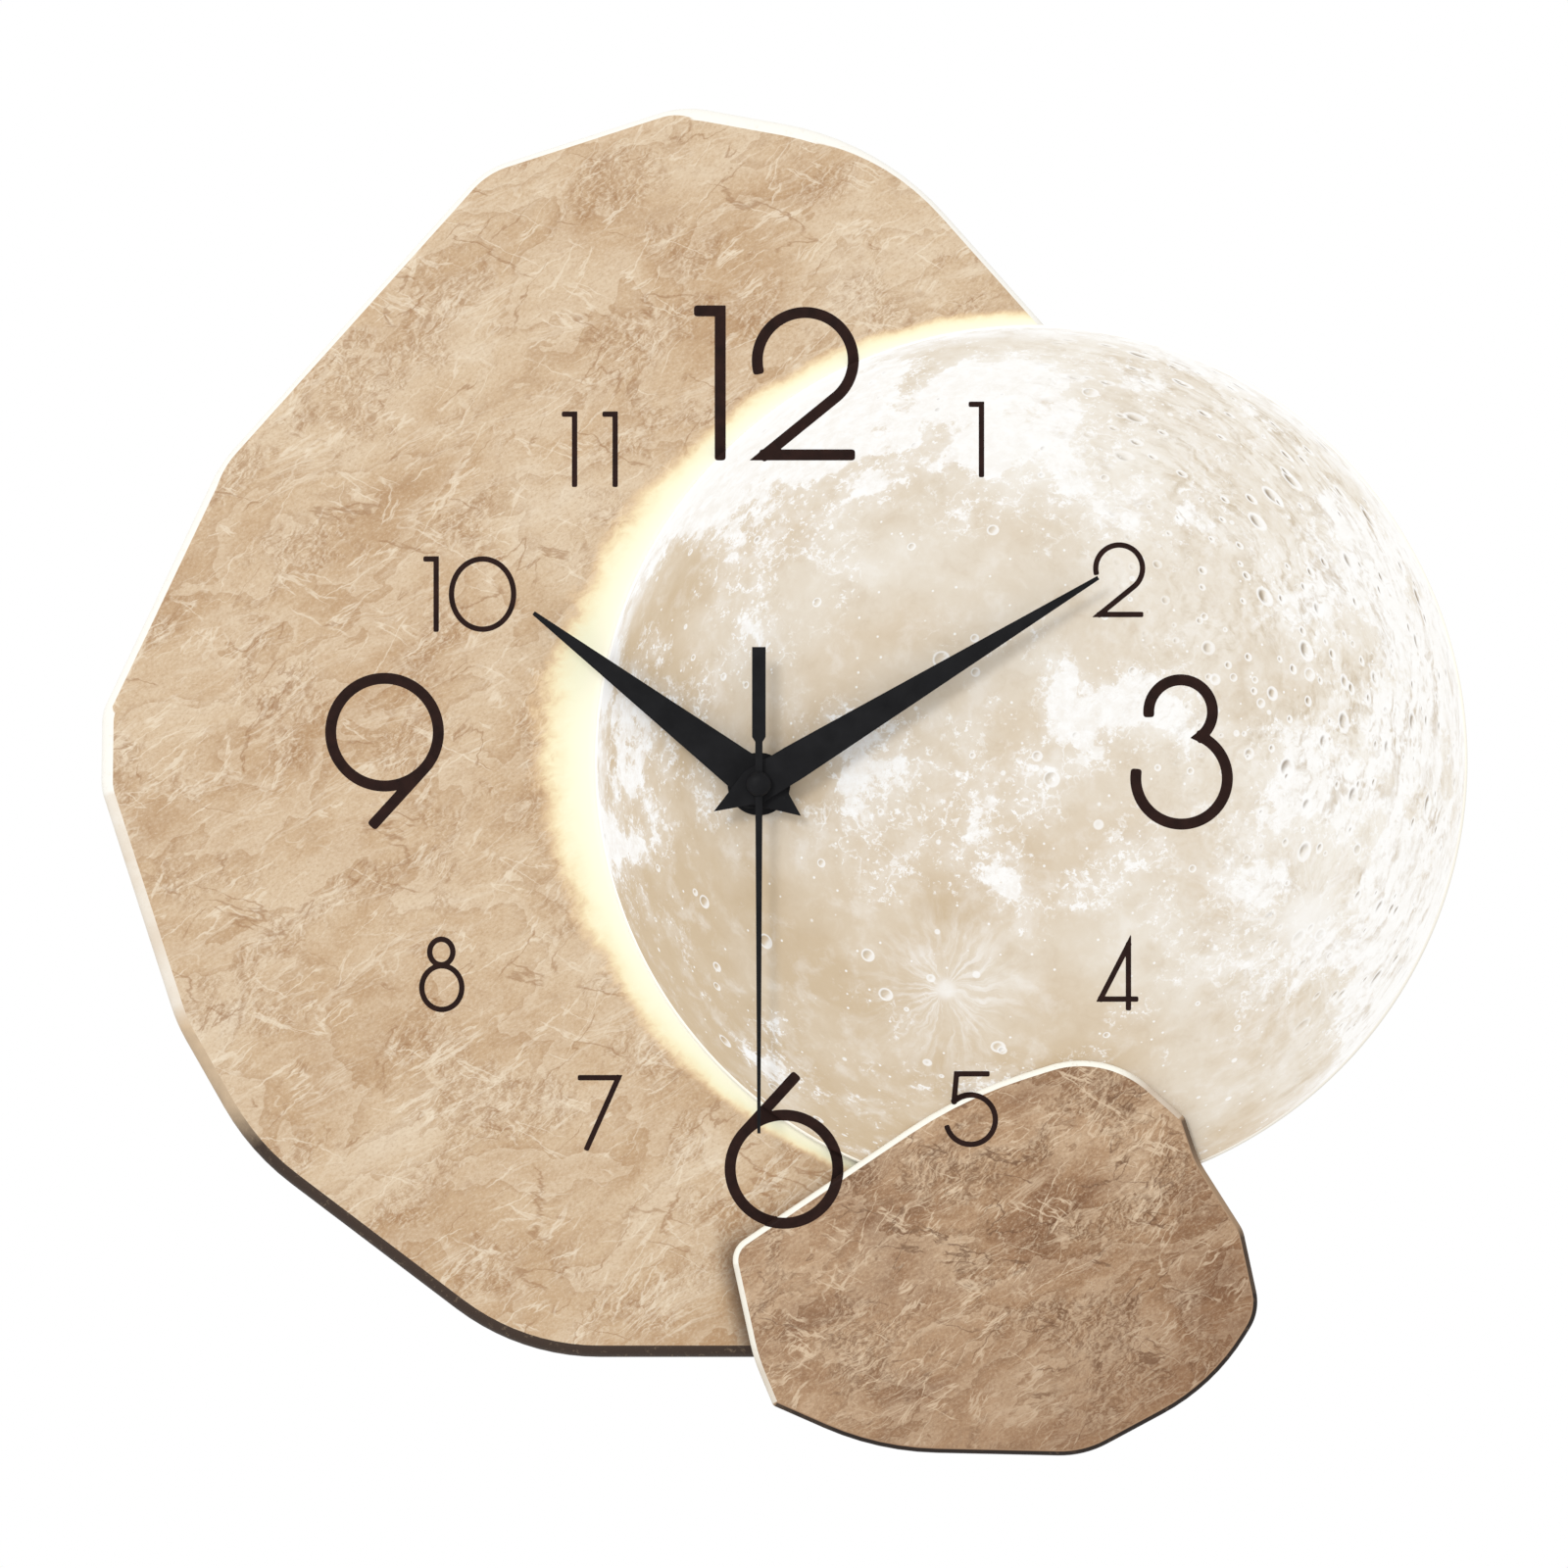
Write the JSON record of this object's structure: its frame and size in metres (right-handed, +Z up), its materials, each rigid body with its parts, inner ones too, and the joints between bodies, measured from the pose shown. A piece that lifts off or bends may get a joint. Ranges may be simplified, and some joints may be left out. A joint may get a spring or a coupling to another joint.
{
  "type": "wall clock",
  "caption": "Wall clock of stacked printed boards shaped as stones and a moon disc, with hour, minute and second hands turned by a quartz movement behind them.",
  "frame": {"origin": "on the axis of the hands, in the plane of the wall, at the flat back of the movement", "axes": "+X right as the dial is read, +Y into the wall, +Z up; the dial faces -Y"},
  "size_m": [0.3, 0.0375, 0.2957],
  "materials": {
    "light_stone_print": "printed satin face, painted edge",
    "moon_print": "printed satin face",
    "dark_stone_print": "printed satin face, painted edge",
    "bare_fibreboard": "raw, matt",
    "black_metal": "matt black lacquer",
    "brass": "turned",
    "steel": "zinc plated",
    "rubber": "matt",
    "black_plastic": "fine moulded texture",
    "white_plastic": "moulded acetal",
    "copper": "enamelled wire",
    "circuit_laminate": "solder mask",
    "battery_sleeve": "plain shrunk sleeve, no label"
  },
  "bodies": {
    "clock": {"base_stone_board": "light_stone_print", "moon_board": "moon_print", "front_stone_board": "dark_stone_print", "packing_block": "bare_fibreboard", "hex_nut": "black_metal", "nut_washer": "black_metal", "rubber_gasket": "rubber", "threaded_bush": "brass", "hanger_bracket": "steel", "movement_case": "black_plastic", "movement_cover": "black_plastic", "battery": "battery_sleeve", "battery_contact_negative": "steel", "battery_contact_positive": "steel", "circuit_board": "circuit_laminate", "chip_cover": "black_plastic", "quartz_crystal": "steel", "stator": "steel", "coil_core": "steel", "coil_bobbin": "white_plastic", "coil_winding": "copper"},
    "seconds": {"second_wheel": "white_plastic", "second_hand": "black_metal", "second_hand_boss": "black_metal"},
    "intermediate": {"intermediate_wheel": "white_plastic"},
    "rotor": {"rotor_pinion": "white_plastic", "rotor_magnet": "steel"},
    "third": {"third_wheel": "white_plastic"},
    "centre": {"centre_wheel": "brass"},
    "minutes": {"cannon_pinion": "brass", "minute_hand": "black_metal", "minute_hand_collet": "black_metal"},
    "motion_wheel": {"minute_wheel": "white_plastic"},
    "hours": {"hour_wheel": "white_plastic", "hour_hand": "black_metal", "hour_hand_collet": "black_metal"},
    "knob": {"setting_knob": "black_plastic"}
  },
  "joints": [
    {"name": "second_hand_turn", "type": "hinge", "parent": "clock", "child": "seconds", "pos_m": [0, 0, 0], "axis": [0, 1, 0], "continuous": true},
    {"name": "intermediate_turn", "type": "hinge", "parent": "clock", "child": "intermediate", "pos_m": [0.00562, 0, 0.00803], "axis": [0, 1, 0], "continuous": true},
    {"name": "rotor_turn", "type": "hinge", "parent": "clock", "child": "rotor", "pos_m": [0.01212, 0, 0.00917], "axis": [0, 1, 0], "continuous": true},
    {"name": "third_wheel_turn", "type": "hinge", "parent": "clock", "child": "third", "pos_m": [-0.00921, 0, 0.00335], "axis": [0, 1, 0], "continuous": true},
    {"name": "centre_wheel_turn", "type": "hinge", "parent": "clock", "child": "centre", "pos_m": [0, 0, 0], "axis": [0, 1, 0], "continuous": true},
    {"name": "minute_hand_turn", "type": "hinge", "parent": "clock", "child": "minutes", "pos_m": [0, 0, 0], "axis": [0, 1, 0], "continuous": true},
    {"name": "minute_wheel_turn", "type": "hinge", "parent": "clock", "child": "motion_wheel", "pos_m": [0.0084, 0, 0], "axis": [0, 1, 0], "continuous": true},
    {"name": "hour_hand_turn", "type": "hinge", "parent": "clock", "child": "hours", "pos_m": [0, 0, 0], "axis": [0, 1, 0], "continuous": true},
    {"name": "setting_knob_turn", "type": "hinge", "parent": "clock", "child": "knob", "pos_m": [0.01629, 0, -0.00287], "axis": [0, 1, 0], "continuous": true}
  ],
  "couplings": [
    {"joint": "intermediate_turn", "follows": "second_hand_turn", "ratio": -6},
    {"joint": "rotor_turn", "follows": "second_hand_turn", "ratio": 30},
    {"joint": "third_wheel_turn", "follows": "second_hand_turn", "ratio": -0.13333},
    {"joint": "centre_wheel_turn", "follows": "second_hand_turn", "ratio": 0.016667},
    {"joint": "minute_wheel_turn", "follows": "minute_hand_turn", "ratio": -0.33333},
    {"joint": "hour_hand_turn", "follows": "minute_hand_turn", "ratio": 0.083333},
    {"joint": "setting_knob_turn", "follows": "minute_hand_turn", "ratio": 1}
  ]
}
